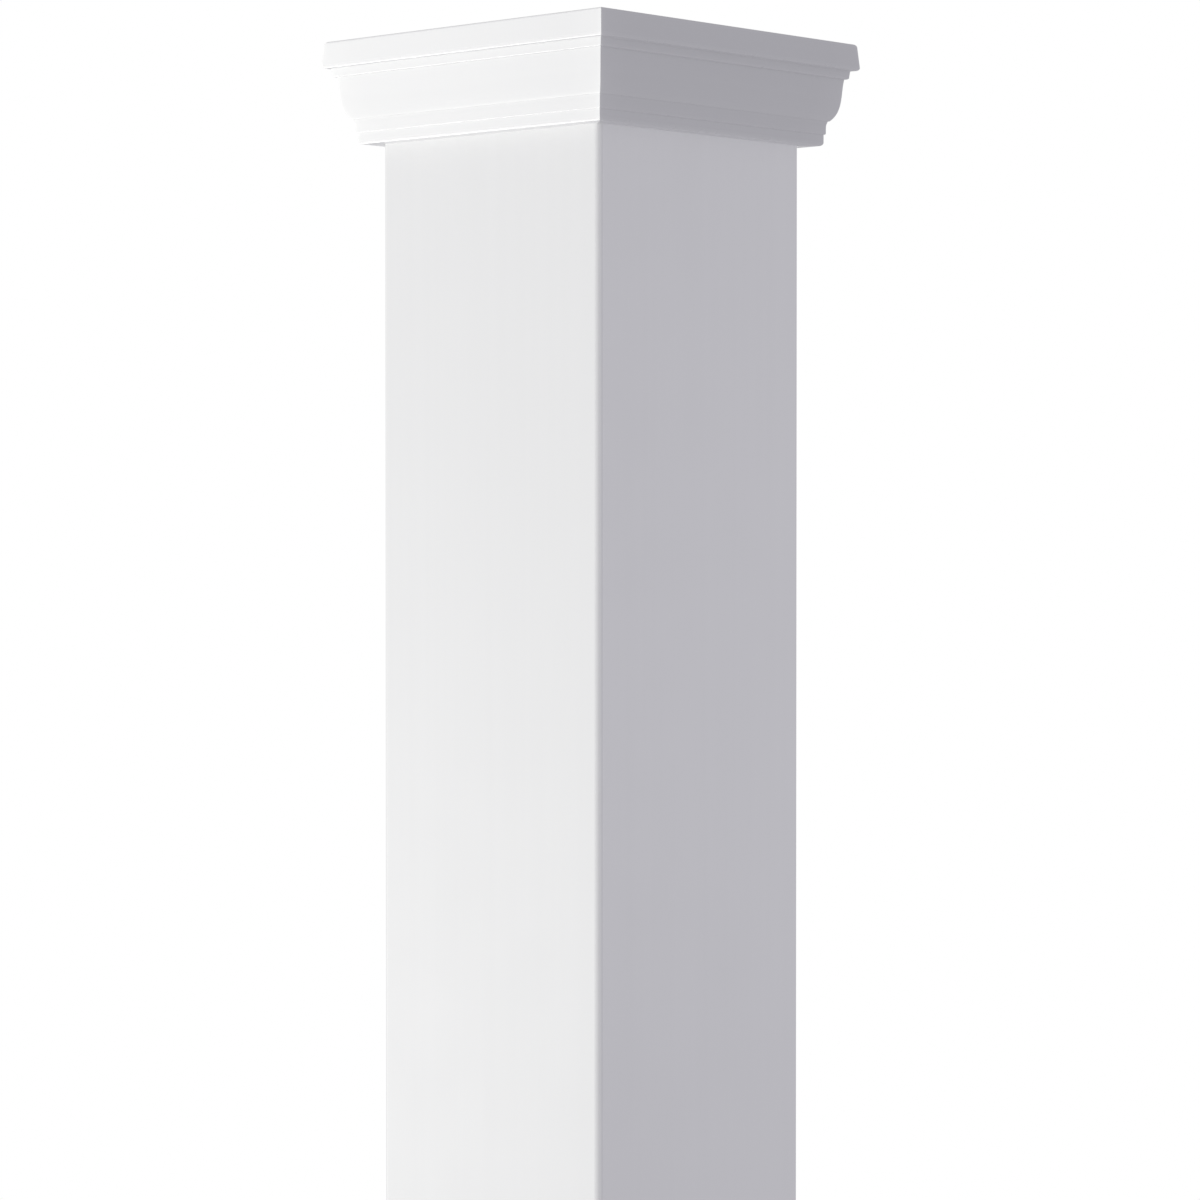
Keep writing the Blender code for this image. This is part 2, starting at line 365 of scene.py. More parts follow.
def carried_section(name, rings, section, lengths, sanded):
    """Closed mesh of a section carried along a path: rings is (stations, points, 3), and lengths the
    distance of each station along the path. Faces run between neighbouring rings, and the first and last
    ring are capped with the second material. The arris and hollow attributes are the section's outward
    and inward bends, and the sanded attribute is the station's."""
    stations, count = rings.shape[:2]
    index = np.arange(stations * count).reshape(stations, count)
    after = np.roll(index, -1, axis=1)
    walls = np.stack([index[:-1], after[:-1], after[1:], index[1:]], axis=-1).reshape(-1, QUAD)
    caps = [index[0][::-1], index[-1]]
    points = rings.reshape(-1, 3)
    if signed_volume(points - points.mean(axis=0), walls, caps) < 0:
        walls = walls[:, ::-1]
        caps = [cap[::-1] for cap in caps]

    mesh = bpy.data.meshes.new(name)
    mesh.from_pydata(points, [], walls.tolist() + [cap.tolist() for cap in caps])
    arris, hollow = bends(section)
    masks = {
        "arris": np.tile(arris, (stations, 1)),
        "hollow": np.tile(hollow, (stations, 1)),
        "sanded": np.repeat(sanded, count),
    }
    for label, mask in masks.items():
        attribute = mesh.attributes.new(label, "FLOAT", "POINT")
        attribute.data.foreach_set("value", mask.ravel().astype(np.float32))
    material_index = np.zeros(len(mesh.polygons), dtype=np.int32)
    material_index[-len(caps):] = 1
    mesh.polygons.foreach_set("material_index", material_index)
    add_uv(mesh, section, lengths)
    mesh.shade_smooth()
    mesh.set_sharp_from_angle(angle=SHARP_ANGLE)
    mesh.update()
    return mesh


def add_uv(mesh, section, lengths):
    """UV map in metres. On the walls U is the distance along the path and V the distance round the
    section. On the caps they are the section's own two measures."""
    steps = np.linalg.norm(np.roll(section, -1, axis=0) - section, axis=1)
    around = np.concatenate([[0], np.cumsum(steps)])
    count = len(section)
    corners = np.empty(len(mesh.loops), dtype=np.int32)
    mesh.loops.foreach_get("vertex_index", corners)
    station, point = np.divmod(corners, count)

    wall_corners = (len(lengths) - 1) * count * QUAD
    quads = point[:wall_corners].reshape(-1, QUAD)
    closing = (quads.max(axis=1) == count - 1) & (quads.min(axis=1) == 0)
    v = around[quads]
    v[closing[:, None] & (quads == 0)] = around[-1]
    uv = section[point]
    uv[:wall_corners, 0] = lengths[station[:wall_corners]]
    uv[:wall_corners, 1] = v.ravel()
    layer = mesh.uv_layers.new(name="UVMap")
    layer.uv.foreach_set("vector", uv.astype(np.float32).ravel())


def finished_name(node):
    return f"{node}_finished"


def place_piece(node, mesh, materials):
    """Makes the mesh an object that stands for the CAD node of that name."""
    for material in materials:
        mesh.materials.append(material)
    piece = bpy.data.objects.new(finished_name(node), mesh)
    bpy.context.scene.collection.objects.link(piece)
    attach(piece, "root")
    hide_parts(node)


def arris_turn(radius, gap):
    """Angles of the half of a rounded corner that ends at its joint: from 0, square to the face, to
    45 degrees less the angle whose sine is half the gap over the radius."""
    return np.linspace(0, math.pi / 4 - math.asin(gap / 2 / radius), ARC_STEPS + 1)


def mitred_edge(sizes, side):
    """Plan of one mitred edge of the front board, from the inner face to the outer face, at its right
    end (side 1, with the tongue) or left end (side -1, with the groove). Every point lies half the joint
    gap short of the mitre plane, and the tongue is a trapezium on the middle of the mitre."""
    corner = np.array([side, -1.0])
    outward = unit(corner)
    across = unit(np.array([side, 1.0]))
    setback = sizes.joint_gap / 2
    clearance = 0 if side > 0 else sizes.joint_gap
    root = sizes.tongue_root / 2 + clearance
    tip = sizes.tongue_tip / 2 + clearance
    inner = corner * (sizes.half_width - sizes.thickness) - (across + outward) * setback
    middle = corner * (sizes.half_width - sizes.thickness / 2) - across * setback
    rise = across * sizes.tongue_height * side
    tongue = [middle - outward * root, middle - outward * tip + rise]
    tongue += [middle + outward * tip + rise, middle + outward * root]

    turn = arris_turn(sizes.arris_radius, sizes.joint_gap)[::-1]
    spokes = np.stack([side * np.sin(turn), -np.cos(turn)], axis=1)
    arris = corner * (sizes.half_width - sizes.arris_radius) + sizes.arris_radius * spokes
    return [(*point, 0) for point in (inner, *tongue)], arris


def crown_section(sizes, back, height):
    """Section of the crown as (out from the shaft, height above the top): a leaning fascia, a band, an
    ogee drawn as a cubic curve that turns under, a cove drawn as another, and a foot fillet."""
    top_slope, foot_slope = sizes.ogee_top_slope, sizes.ogee_foot_slope
    ogee_top = np.array([sizes.ogee_top_out, -sizes.band_foot])
    ogee_foot = np.array([sizes.ogee_foot_out, -sizes.ogee_foot])
    top_handle = ogee_top - sizes.ogee_bulge * np.array([math.sin(top_slope), math.cos(top_slope)])
    foot_handle = ogee_foot + sizes.ogee_bulge * np.array([math.sin(foot_slope), math.cos(foot_slope)])
    cove_top = (sizes.cove_top_out, -sizes.ogee_foot)
    cove_handle = (sizes.cove_foot_out, -sizes.ogee_foot - sizes.cove_bend)
    cove_foot = (sizes.cove_foot_out, -sizes.cove_foot)
    cove_end = (sizes.cove_foot_out, -sizes.cove_foot + sizes.fillet_radius)
    return outline([
        (back, 0, 0),
        (sizes.fascia_top_out, 0, sizes.fascia_top_radius),
        (sizes.fascia_foot_out, -sizes.fascia_foot, sizes.fascia_foot_radius),
        (sizes.band_top_out, -sizes.fascia_foot, sizes.hollow_radius),
        (sizes.band_foot_out, -sizes.band_foot, sizes.band_radius),
        bezier(ogee_top, top_handle, foot_handle, ogee_foot),
        bezier(cove_top, cove_handle, cove_handle, cove_end)[:-1],
        (*cove_foot, sizes.fillet_radius),
        (sizes.fillet_out, -sizes.cove_foot, 0),
        (sizes.fillet_out, -height, sizes.foot_radius),
        (back, -height, 0),
    ])


def skirting_section(sizes, back):
    """Section of the skirting as (out from the shaft, height): a board with one rounded edge."""
    return outline([
        (back, 0, 0),
        (sizes.face_out, 0, 0),
        (sizes.face_out, sizes.height, sizes.edge_radius),
        (back, sizes.height, 0),
    ])


def mitred_rings(section, half_width, gap, mitre_radius, height):
    """A section run along the front of the shaft between its rounded mitres, as (stations, points, 3),
    with the stations' lengths and sanding. For a point that is out from the shaft by d, the rounding of
    the corner has its middle at m = half width + d - radius, in x and in -y. At a turn of t, x is the
    share times m, plus radius times sine t, and y is -m - radius times cosine t. The straight part has
    no turn and a share from -1 to 1, and the roundings have a share of -1 or 1. The sanding fades out
    with the distance from the roundings, by the exponential of that distance over the sanded reach."""
    rounding = arris_turn(mitre_radius, gap)[1:]
    straight = with_supports(np.array([-half_width, half_width])) / half_width
    turn = np.concatenate([-rounding[::-1], np.zeros(len(straight)), rounding])[:, None]
    share = np.concatenate([np.full(ARC_STEPS, -1.0), straight, np.full(ARC_STEPS, 1.0)])[:, None]
    out, up = section.T
    middle = half_width + out - mitre_radius
    rings = np.empty((len(share), len(section), 3))
    rings[..., 0] = share * middle + mitre_radius * np.sin(turn)
    rings[..., 1] = -middle - mitre_radius * np.cos(turn)
    rings[..., 2] = height + up
    lengths = (share * half_width + turn * mitre_radius).ravel()
    # The sanded mask also whitens the mitres' colour: painted highlight as well as wear
    sanded = np.exp((np.abs(share).ravel() - 1) * half_width / SANDED_REACH)
    return rings, lengths, sanded


def place_all_round(stem, rings, section, lengths, sanded, materials):
    """Makes the four pieces of one kind: the front one's rings, turned to each side."""
    for turns, side in enumerate(SIDES):
        node = f"{stem}_{side}"
        mesh = carried_section(node, quarter_turn(rings, turns), section, lengths, sanded)
        place_piece(node, mesh, materials)


class COLUMN_OT_shaft_boards(bpy.types.Operator):
    """Builds the four boards of the shaft."""

    bl_idname = "column.shaft_boards"
    bl_label = "Shaft boards"

    def execute(self, context):
        sizes, finish = context.scene.column_shaft, context.scene.column_finish
        right_corners, right_arris = mitred_edge(sizes, 1)
        left_corners, left_arris = mitred_edge(sizes, -1)
        plan = outline([*right_corners, right_arris, left_arris[::-1], *left_corners[::-1]])
        heights = with_supports(np.array([CAD_LOW.z, CAD_HIGH.z]))
        rings = np.empty((len(heights), len(plan), 3))
        rings[..., :2] = plan
        rings[..., 2] = heights[:, None]
        sanded = np.zeros(len(heights))
        materials = (board_skin(finish), sawn_end(finish))
        place_all_round("shaft_board", rings, plan, heights, sanded, materials)
        return {"FINISHED"}


class COLUMN_OT_crown_mouldings(bpy.types.Operator):
    """Builds the four mitred lengths of the crown."""

    bl_idname = "column.crown_mouldings"
    bl_label = "Crown mouldings"

    def execute(self, context):
        shaft, sizes = context.scene.column_shaft, context.scene.column_crown
        finish = context.scene.column_finish
        section = crown_section(sizes, shaft.joint_gap, CROWN_HIGH.z - CROWN_LOW.z)
        rings, lengths, sanded = mitred_rings(
            section, shaft.half_width, shaft.joint_gap, sizes.mitre_radius, CROWN_HIGH.z
        )
        materials = (crown_skin(finish), sawn_end(finish))
        place_all_round("crown_moulding", rings, section, lengths, sanded, materials)
        return {"FINISHED"}


class COLUMN_OT_skirting_boards(bpy.types.Operator):
    """Builds the four mitred boards round the foot."""

    bl_idname = "column.skirting_boards"
    bl_label = "Skirting boards"

    def execute(self, context):
        shaft, sizes = context.scene.column_shaft, context.scene.column_skirting
        finish = context.scene.column_finish
        section = skirting_section(sizes, shaft.joint_gap)
        rings, lengths, sanded = mitred_rings(
            section, shaft.half_width, shaft.joint_gap, sizes.mitre_radius, SKIRTING_LOW.z
        )
        materials = (skirting_skin(finish), sawn_end(finish))
        place_all_round("skirting_board", rings, section, lengths, sanded, materials)
        return {"FINISHED"}


# Places of the mix node's colour sockets, which share their names with its other kinds of sockets
MIX_SHARE, MIX_FIRST, MIX_SECOND, MIX_RESULT = 0, 6, 7, 2


class Wiring:
    """Adds nodes to one node tree. An input takes a socket, which is linked, or a plain value."""

    def __init__(self, tree):
        self.tree = tree

    def add(self, kind, inputs=(), **settings):
        node = self.tree.nodes.new(kind)
        for setting, value in settings.items():
            setattr(node, setting, value)
        for socket, value in dict(inputs).items():
            self.feed(node.inputs[socket], value)
        return node

    def feed(self, socket, value):
        if isinstance(value, bpy.types.NodeSocket):
            self.tree.links.new(value, socket)
        else:
            socket.default_value = value

    def math(self, operation, *values):
        return self.add("ShaderNodeMath", enumerate(values), operation=operation).outputs[0]

    def noise(self, place, spacing, detail=2.0):
        """Noise from 0 to 1 whose patches are about that spacing apart, in metres."""
        inputs = {"Vector": place, "Scale": 1 / spacing, "Detail": detail}
        return self.add("ShaderNodeTexNoise", inputs).outputs["Fac"]

    def stretched_noise(self, place, lengths, detail=2.0):
        """Noise whose patches have that length along each axis, in metres."""
        scale = tuple(1 / length for length in lengths)
        counted = self.add("ShaderNodeMapping", {"Vector": place, "Scale": scale}).outputs["Vector"]
        return self.noise(counted, 1, detail)

    def ramp(self, value, low, high, low_result=0.0, high_result=1.0):
        """Smooth step from the low result to the high one as the value goes from low to high."""
        inputs = {
            "Value": value, "From Min": low, "From Max": high, "To Min": low_result, "To Max": high_result
        }
        return self.add("ShaderNodeMapRange", inputs, interpolation_type="SMOOTHSTEP").outputs["Result"]

    def blend(self, share, first, second, how="MIX"):
        """Colour mix, with the second colour's share."""
        mix = self.add("ShaderNodeMix", {MIX_SHARE: share}, data_type="RGBA", blend_type=how)
        self.feed(mix.inputs[MIX_FIRST], first)
        self.feed(mix.inputs[MIX_SECOND], second)
        return mix.outputs[MIX_RESULT]

    def bump(self, height):
        """Normal of a surface with that height in metres."""
        inputs = {"Strength": 1.0, "Distance": 1.0, "Height": height}
        return self.add("ShaderNodeBump", inputs).outputs["Normal"]

    def effect(self, group, inputs):
        return self.add("ShaderNodeGroup", inputs, node_tree=group).outputs


def opaque(colour):
    return (*colour, 1.0)


def effect_group(name, inputs, outputs):
    """Node group of that name with its sockets, its wiring, and what goes in and comes out."""
    tree = bpy.data.node_groups.new(name, "ShaderNodeTree")
    for in_out, sockets in (("INPUT", inputs), ("OUTPUT", outputs)):
        for socket, kind in sockets.items():
            tree.interface.new_socket(name=socket, in_out=in_out, socket_type=f"NodeSocket{kind}")
    wiring = Wiring(tree)
    given = wiring.add("NodeGroupInput").outputs
    results = wiring.add("NodeGroupOutput").inputs
    return tree, wiring, given, results


def built_once(build):
    """Makes a function build its node group or material once, and hand out the same one after that."""
    made = []

    def fetch(*values):
        if not made:
            made.append(build(*values))
        return made[0]

    return fetch


@built_once
def extruded_skin():
    """Skin of an extruded board: cloudy tone, streaks and die lines along its length, a fine peel and a
    broad waviness. Tone is about 1, Gloss change about 0 and Height in metres."""
    tree, wiring, given, results = effect_group(
        "Extruded skin",
        {"Position": "Vector", "Along": "Vector", "Tone change": "Float", "Peel depth": "Float",
         "Line depth": "Float", "Wave depth": "Float"},
        {"Tone": "Float", "Gloss change": "Float", "Height": "Float"},
    )
    cloud = wiring.noise(given["Position"], spacing=0.11, detail=3)
    streak = wiring.stretched_noise(given["Along"], (0.7, 0.009, 1), detail=3)
    both = wiring.math("SUBTRACT", wiring.math("ADD", cloud, streak), 1)
    wiring.feed(results["Tone"], wiring.math("MULTIPLY_ADD", both, given["Tone change"], 1))

    rubbed = wiring.noise(given["Position"], spacing=0.045, detail=4)
    wiring.feed(results["Gloss change"], wiring.math("SUBTRACT", rubbed, 0.5))

    peel = wiring.noise(given["Position"], spacing=0.0021, detail=1)
    lines = wiring.stretched_noise(given["Along"], (0.35, 0.0016, 1), detail=2)
    wave = wiring.noise(given["Position"], spacing=0.16, detail=1)
    height = wiring.math("MULTIPLY", peel, given["Peel depth"])
    height = wiring.math("MULTIPLY_ADD", lines, given["Line depth"], height)
    height = wiring.math("MULTIPLY_ADD", wave, given["Wave depth"], height)
    wiring.feed(results["Height"], height)
    return tree


@built_once
def burnished_edge():
    """Masks of edges that hands have smoothed and of mitres that were sanded flush, both patchy along their
    length. They change the roughness, and whiten the colour as painted highlight as well as wear."""
    tree, wiring, given, results = effect_group(
        "Burnished edge",
        {"Position": "Vector", "Arris": "Float", "Sanded": "Float", "Amount": "Float"},
        {"Worn": "Float", "Sanded highlight": "Float"},
    )
    patches = wiring.noise(given["Position"], spacing=0.03, detail=4)
    patchy = wiring.math("MULTIPLY", wiring.ramp(patches, 0.30, 0.70, 0.45, 1.0), given["Amount"])
    wiring.feed(results["Worn"], wiring.math("MULTIPLY", given["Arris"], patchy))
    wiring.feed(results["Sanded highlight"], wiring.math("MULTIPLY", given["Sanded"], patchy))
    return tree


# Share of a ledge's darkening that a hollow gets, there as painted shade
HOLLOW_SHADE_SHARE = 0.6


@built_once
def dust_and_hollow_shade():
    """Mask of dust on faces that look up, and of painted shade in hollows, in soft patches."""
    tree, wiring, given, results = effect_group(
        "Dust and hollow shade",
        {"Position": "Vector", "Normal": "Vector", "Hollow": "Float", "Amount": "Float"},
        {"Mask": "Float"},
    )
    upward = wiring.add("ShaderNodeSeparateXYZ", {"Vector": given["Normal"]}).outputs["Z"]
    ledge = wiring.ramp(upward, 0.35, 0.95)
    # Hollows get the darkening too: painted shade
    ledges_and_hollows = wiring.math("MAXIMUM", ledge, wiring.math("MULTIPLY", given["Hollow"], HOLLOW_SHADE_SHARE))
    patches = wiring.ramp(wiring.noise(given["Position"], spacing=0.02, detail=5), 0.25, 0.75, 0.35, 1.0)
    mask = wiring.math("MULTIPLY", wiring.math("MULTIPLY", ledges_and_hollows, patches), given["Amount"])
    wiring.feed(results["Mask"], mask)
    return tree


@built_once
def rubbed_scuffs():
    """Mask of short faint rub marks that run along the board, denser near the floor."""
    tree, wiring, given, results = effect_group(
        "Rubbed scuffs", {"Position": "Vector", "Along": "Vector", "Amount": "Float"}, {"Mask": "Float"}
    )
    strokes = wiring.stretched_noise(given["Along"], (0.05, 0.004, 1), detail=5)
    height = wiring.add("ShaderNodeSeparateXYZ", {"Vector": given["Position"]}).outputs["Z"]
    nearness = wiring.ramp(height, 0.0, 0.5, 1.0, 0.3)
    marks = wiring.math("MULTIPLY", wiring.ramp(strokes, 0.60, 0.74), nearness)
    wiring.feed(results["Mask"], wiring.math("MULTIPLY", marks, given["Amount"]))
    return tree


def new_material(name):
    """A material with its wiring, its shader and the texture coordinates."""
    material = bpy.data.materials.new(name)
    material.use_nodes = True
    wiring = Wiring(material.node_tree)
    shader = material.node_tree.nodes["Principled BSDF"]
    place = wiring.add("ShaderNodeTexCoord").outputs
    return material, wiring, shader, place


def mask_of(wiring, attribute):
    return wiring.add("ShaderNodeAttribute", attribute_name=attribute).outputs["Fac"]


# How much each effect, at its fullest, adds to a skin's roughness
BURNISHING_ROUGHENS = -0.16
SANDING_ROUGHENS = 0.10
SCUFFING_ROUGHENS = 0.6
DUST_ROUGHENS = 0.8


def skin_material(name, white, roughness, finish, tone_change, peel_depth, line_depth, scuffs):
    """Satin white skin: the extruded tone, then burnished edges whitened as painted highlight as well as
    wear, scuffs, and dust over it, which in hollows is painted shade.
    """
    material, wiring, shader, place = new_material(name)
    skin = wiring.effect(extruded_skin(), {
        "Position": place["Object"],
        "Along": place["UV"],
        "Tone change": tone_change,
        "Peel depth": peel_depth,
        "Line depth": line_depth,
        "Wave depth": finish.wave_depth,
    })
    edge = wiring.effect(burnished_edge(), {
        "Position": place["Object"],
        "Arris": mask_of(wiring, "arris"),
        "Sanded": mask_of(wiring, "sanded"),
        "Amount": finish.edge_wear_and_highlight,
    })
    scuff = wiring.effect(rubbed_scuffs(), {
        "Position": place["Object"],
        "Along": place["UV"],
        "Amount": scuffs,
    })["Mask"]
    dust = wiring.effect(dust_and_hollow_shade(), {
        "Position": place["Object"],
        "Normal": place["Normal"],
        "Hollow": mask_of(wiring, "hollow"),
        "Amount": finish.dust_and_shade_amount,
    })["Mask"]

    toned = wiring.blend(1.0, opaque(white), skin["Tone"], how="MULTIPLY")
    # Worn edges and sanded mitres whitened: painted highlight as well as wear
    wear_highlight_share = wiring.math("MULTIPLY_ADD", edge["Worn"], finish.edge_highlight_whitening, edge["Sanded highlight"])
    worn_and_highlit = wiring.blend(wear_highlight_share, toned, opaque(finish.worn_highlight_colour))
    scuffed = wiring.blend(scuff, worn_and_highlit, opaque(finish.scuff_colour))
    # Dust on ledges, and painted shade in hollows
    wiring.feed(shader.inputs["Base Color"], wiring.blend(dust, scuffed, opaque(finish.dust_and_shade_colour)))

    rough = wiring.math("MULTIPLY_ADD", skin["Gloss change"], finish.gloss_change, roughness)
    for mask, roughened in (
        (edge["Worn"], BURNISHING_ROUGHENS), (edge["Sanded highlight"], SANDING_ROUGHENS),
        (scuff, SCUFFING_ROUGHENS), (dust, DUST_ROUGHENS),
    ):
        rough = wiring.math("MULTIPLY_ADD", mask, roughened, rough)
    wiring.feed(shader.inputs["Roughness"], rough)
    wiring.feed(shader.inputs["Normal"], wiring.bump(skin["Height"]))
    return material


@built_once
def board_skin(finish):
    return skin_material(
        "Board skin", finish.board_white, finish.board_roughness, finish,
        tone_change=0.022, peel_depth=0.000003, line_depth=0.0000012,
        scuffs=finish.scuff_amount * finish.shaft_scuffs,
    )


@built_once
def crown_skin(finish):
    return skin_material(
        "Crown skin", finish.crown_white, finish.crown_roughness, finish,
        tone_change=0.016, peel_depth=0.000002, line_depth=0.0000016, scuffs=0.0,
    )


@built_once
def skirting_skin(finish):
    return skin_material(
        "Skirting skin", finish.board_white, finish.board_roughness, finish,
        tone_change=0.026, peel_depth=0.000003, line_depth=0.0000012, scuffs=finish.scuff_amount,
    )


# Tone of a sawn end, and how much its clouds, ridges and pores add to it; the pores' darkening is painted
# shade
SAWN_SHADE = 0.94
CLOUD_SHADE = 0.10
RIDGE_SHADE = 0.12
PORE_SHADE = -0.42

# How far the roughness of a sawn end wanders
SAWN_GLOSS_CHANGE = 0.15

# How far apart the pores of a sawn end are
PORE_SPACING = 0.0008


@built_once
def sawn_end(finish):
    """Foamed core that a saw has opened: small pores darkened with painted shade, and ridges that the saw's
    teeth left.
    """
    material, wiring, shader, place = new_material("Sawn end")
    cells = wiring.add("ShaderNodeTexVoronoi", {"Vector": place["Object"], "Scale": 1 / PORE_SPACING})
    size = wiring.noise(place["Object"], spacing=0.0015, detail=2)
    rim = wiring.ramp(size, 0.35, 0.65, 0.12, 0.34)
    pore = wiring.math("SUBTRACT", 1.0, wiring.ramp(cells.outputs["Distance"], 0.0, rim))
    ridges = wiring.stretched_noise(place["Object"], (0.0011, 0.07, 0.07), detail=3)
    cloud = wiring.math("SUBTRACT", wiring.noise(place["Object"], spacing=0.012, detail=3), 0.5)

    shade = wiring.math("MULTIPLY_ADD", cloud, CLOUD_SHADE, SAWN_SHADE)
    shade = wiring.math("MULTIPLY_ADD", ridges, RIDGE_SHADE, shade)
    # Darker pores: painted shade
    shade = wiring.math("MULTIPLY_ADD", pore, PORE_SHADE, shade)
    colour = wiring.blend(1.0, opaque(finish.sawn_white), shade, how="MULTIPLY")
    wiring.feed(shader.inputs["Base Color"], colour)
    rough = wiring.math("MULTIPLY_ADD", cloud, SAWN_GLOSS_CHANGE, finish.sawn_roughness)
    wiring.feed(shader.inputs["Roughness"], rough)

    height = wiring.math("MULTIPLY", pore, -finish.pore_depth)
    height = wiring.math("MULTIPLY_ADD", ridges, finish.ridge_height, height)
    wiring.feed(shader.inputs["Normal"], wiring.bump(height))
    return material


FLOOR_SPOKES = 96
FLOOR_RINGS = 12

# Share of the floor's radius at which it has faded out
FLOOR_FADED = 0.98


def floor_paint(look):
    """Matt pale floor that fades out towards its rim, so that it meets the backdrop without a line."""
    material, wiring, shader, place = new_material("Pale floor")
    mottle = wiring.noise(place["Object"], spacing=0.35, detail=5)
    darker = opaque(channel * look.floor_mottle for channel in look.floor_colour)
    wiring.feed(shader.inputs["Base Color"], wiring.blend(mottle, opaque(look.floor_colour), darker))
    wiring.feed(shader.inputs["Roughness"], wiring.ramp(mottle, 0.2, 0.8, 0.55, 0.70))
    distance = wiring.add("ShaderNodeVectorMath", {0: place["Object"]}, operation="LENGTH").outputs["Value"]
    fade = wiring.ramp(distance, look.floor_fade, look.floor_radius * FLOOR_FADED, 1.0, 0.0)
    wiring.feed(shader.inputs["Alpha"], fade)
    return material


def floor_disc(look, height):
    """Round floor: rings at even distances out to the radius, each with evenly turned points, round one
    middle point."""
    angle = np.linspace(0, 2 * math.pi, FLOOR_SPOKES, endpoint=False)
    distance = np.linspace(0, look.floor_radius, FLOOR_RINGS + 1)[1:, None]
    rings = np.stack([distance * np.cos(angle), distance * np.sin(angle)], axis=-1).reshape(-1, 2)
    points = np.full((len(rings) + 1, 3), float(height))
    points[0, :2] = 0
    points[1:, :2] = rings
    index = np.arange(1, len(points)).reshape(FLOOR_RINGS, FLOOR_SPOKES)
    after = np.roll(index, -1, axis=1)
    quads = np.stack([index[:-1], index[1:], after[1:], after[:-1]], axis=-1).reshape(-1, QUAD)
    fan = np.stack([np.zeros(FLOOR_SPOKES, dtype=int), index[0], after[0]], axis=-1)
    mesh = bpy.data.meshes.new("floor")
    mesh.from_pydata(points, [], quads.tolist() + fan.tolist())
    mesh.materials.append(floor_paint(look))
    mesh.update()
    return mesh


def studio_world(look):
    """White backdrop for the camera, and a dimmer cool light from everywhere on the column."""
    world = bpy.data.worlds.new("Studio")
    world.use_nodes = True
    wiring = Wiring(world.node_tree)
    camera_ray = wiring.add("ShaderNodeLightPath").outputs["Is Camera Ray"]
    dim = opaque(channel * look.ambient for channel in look.ambient_colour)
    light = wiring.blend(camera_ray, dim, opaque((look.backdrop,) * 3))
    wiring.feed(world.node_tree.nodes["Background"].inputs["Color"], light)
    bpy.context.scene.world = world


def put_facing(item, place, aim):
    """Puts a lamp or camera at a place, looks from there at the aimed point, and adds it to the scene."""
    item.location = place
    item.rotation_euler = (Vector(aim) - Vector(place)).to_track_quat("-Z", "Y").to_euler()
    bpy.context.scene.collection.objects.link(item)


def light_panel(
    name, power, colour, lit, place, aim, width, height,
    matt_light=True, sheen=True, bounces=True, shaded_by=None,
):
    """Soft panel that faces the aimed point and shines on the objects of the lit collection. It gives
    matt light, sheen or both, and what it lights may light other things in turn or not. With a shading
    collection, only that one's objects throw shadows."""
    light = bpy.data.lights.new(name, "AREA")
    light.shape = "RECTANGLE"
    light.size = width
    light.size_y = height
    light.energy = power
    light.color = colour
    if not bounces:
        light.cycles.max_bounces = 0
    panel = bpy.data.objects.new(name, light)
    panel.visible_camera = False
    panel.visible_diffuse = matt_light
    panel.visible_glossy = sheen
    panel.light_linking.receiver_collection = lit
    panel.light_linking.blocker_collection = shaded_by
    put_facing(panel, place, aim)


def pieces_of(name, stems, sides):
    """Collection of the finished pieces whose nodes start with those words, on those sides."""
    pieces = bpy.data.collections.new(name)
    for stem in stems:
        for side in sides:
            pieces.objects.link(bpy.data.objects[finished_name(f"{stem}_{side}")])
    return pieces


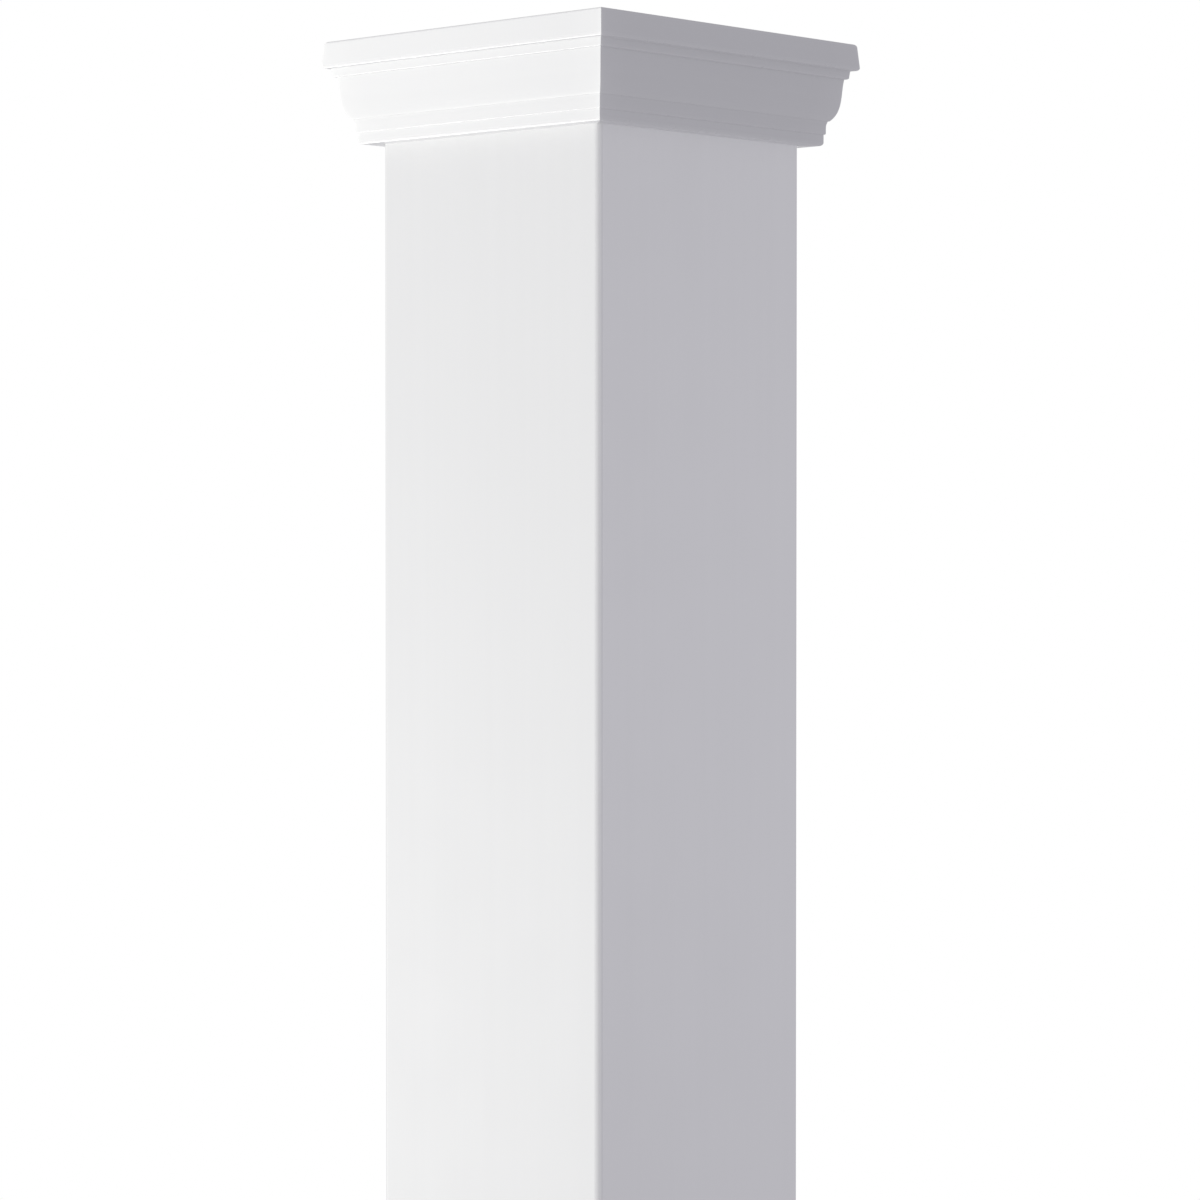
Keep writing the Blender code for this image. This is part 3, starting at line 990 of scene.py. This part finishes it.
def light_studio(look, floor):
    """Panels for the boards: a matt key from the left, a low one whose sheen brightens the lower shaft,
    and a fill from the right. Panels for the crown's left half, which its edges don't shade: a matt key
    from below, a wash from the same place, a matt one from above, and one that only makes sheen on the
    edges that turn under. Of these four, only the key's light is thrown on to other pieces. One panel
    behind lights what the camera doesn't see, and one above lights the floor."""
    boards = pieces_of("Boards", ("shaft_board", "skirting_board"), SIDES)
    crown = pieces_of("Crown", ("crown_moulding",), ("front", "left"))
    skirting = pieces_of("Skirting", ("skirting_board",), SIDES)
    back = pieces_of("Back", ("shaft_board", "skirting_board", "crown_moulding"), ("back", "left"))
    ground = bpy.data.collections.new("Ground")
    ground.objects.link(floor)
    light_panel(
        "Boards key", look.boards_key, look.key_colour, boards, sheen=False, shaded_by=boards,
        place=(-0.75, -2.7, 2.3), aim=(0, 0, 2.1), width=0.8, height=2.2,
    )
    light_panel(
        "Boards glow", look.boards_glow, look.key_colour, boards,
        place=(-2.2, -1.7, 1.2), aim=(0, 0, 1.8), width=1.2, height=1.4,
    )
    light_panel(
        "Boards fill", look.boards_fill, look.fill_colour, boards, shaded_by=boards,
        place=(2.2, 1.5, 2.0), aim=(0, 0, 2.0), width=1.2, height=1.6,
    )
    light_panel(
        "Crown key", look.crown_key, look.key_colour, crown, sheen=False, shaded_by=skirting,
        place=(-1.1, -2.2, 1.5), aim=(0, 0, 2.4), width=1.0, height=1.0,
    )
    light_panel(
        "Crown wash", look.crown_wash, look.key_colour, crown, sheen=False, bounces=False,
        shaded_by=skirting, place=(-1.1, -2.2, 1.5), aim=(0, 0, 2.4), width=1.0, height=1.0,
    )
    light_panel(
        "Crown top", look.crown_top, look.key_colour, crown, sheen=False, bounces=False,
        shaded_by=skirting, place=(-0.3, -0.65, 5.0), aim=(0, 0, 2.4), width=1.0, height=1.0,
    )
    light_panel(
        "Crown glint", look.crown_glint, look.key_colour, crown, matt_light=False, bounces=False,
        shaded_by=skirting, place=(-1.26, 0.114, 1.135), aim=(0, -0.12, 2.4), width=0.5, height=0.5,
    )
    light_panel(
        "Back light", look.back_light, look.key_colour, back,
        place=(-0.9, 2.6, 2.1), aim=(0, 0, 2.1), width=1.0, height=2.0,
    )
    light_panel(
        "Floor light", look.floor_light, look.key_colour, ground,
        place=(0, 0, 6.5), aim=(0, 0, 0), width=4.0, height=4.0,
    )


def place_camera(look, top):
    """Camera turned from the front by its azimuth, at its distance and drop, aimed beside the column's
    middle line. The lens is the focal length in pixels over the picture's width, times the sensor."""
    forward = np.array([math.sin(look.camera_azimuth), -math.cos(look.camera_azimuth)])
    right = np.array([math.cos(look.camera_azimuth), math.sin(look.camera_azimuth)])
    place = (*(forward * look.camera_distance), top - look.camera_drop)
    aim = (*(right * look.aim_right), top - look.aim_drop)
    camera = bpy.data.cameras.new("Camera")
    camera.sensor_width = SENSOR_WIDTH
    camera.lens = look.lens_pixels / PICTURE_WIDTH * SENSOR_WIDTH
    holder = bpy.data.objects.new("Camera", camera)
    put_facing(holder, place, aim)
    bpy.context.scene.camera = holder


class COLUMN_OT_stage(bpy.types.Operator):
    """Sets up the floor, the backdrop, the lights and the camera."""

    bl_idname = "column.stage"
    bl_label = "Studio stage"

    def execute(self, context):
        look = context.scene.column_stage
        floor = bpy.data.objects.new("floor", floor_disc(look, CAD_LOW.z))
        context.scene.collection.objects.link(floor)
        floor.visible_diffuse = False
        studio_world(look)
        light_studio(look, floor)
        place_camera(look, CAD_HIGH.z)
        context.scene.view_settings.view_transform = "Standard"
        return {"FINISHED"}


OPERATORS = (
    COLUMN_OT_shaft_boards,
    COLUMN_OT_crown_mouldings,
    COLUMN_OT_skirting_boards,
    COLUMN_OT_stage,
)


class COLUMN_PT_panel(bpy.types.Panel):
    """Lists the operators and, under them, the sizes and colours."""

    bl_label = "Square column"
    bl_space_type = "VIEW_3D"
    bl_region_type = "UI"
    bl_category = "Column"

    def draw(self, context):
        for operator in OPERATORS:
            self.layout.operator(operator.bl_idname)
        for attribute, group in PROPERTY_GROUPS.items():
            box = self.layout.box()
            box.label(text=attribute.replace("_", " ").capitalize())
            for name in group.__annotations__:
                box.prop(getattr(context.scene, attribute), name)


def register():
    for attribute, group in PROPERTY_GROUPS.items():
        bpy.utils.register_class(group)
        setattr(bpy.types.Scene, attribute, PointerProperty(type=group))
    for kind in (*OPERATORS, COLUMN_PT_panel):
        bpy.utils.register_class(kind)


def unregister():
    for kind in (COLUMN_PT_panel, *reversed(OPERATORS)):
        bpy.utils.unregister_class(kind)
    for attribute, group in PROPERTY_GROUPS.items():
        delattr(bpy.types.Scene, attribute)
        bpy.utils.unregister_class(group)


def main():
    register()
    bpy.ops.column.shaft_boards()
    bpy.ops.column.crown_mouldings()
    bpy.ops.column.skirting_boards()
    bpy.ops.column.stage()


if __name__ == "__main__":
    main()
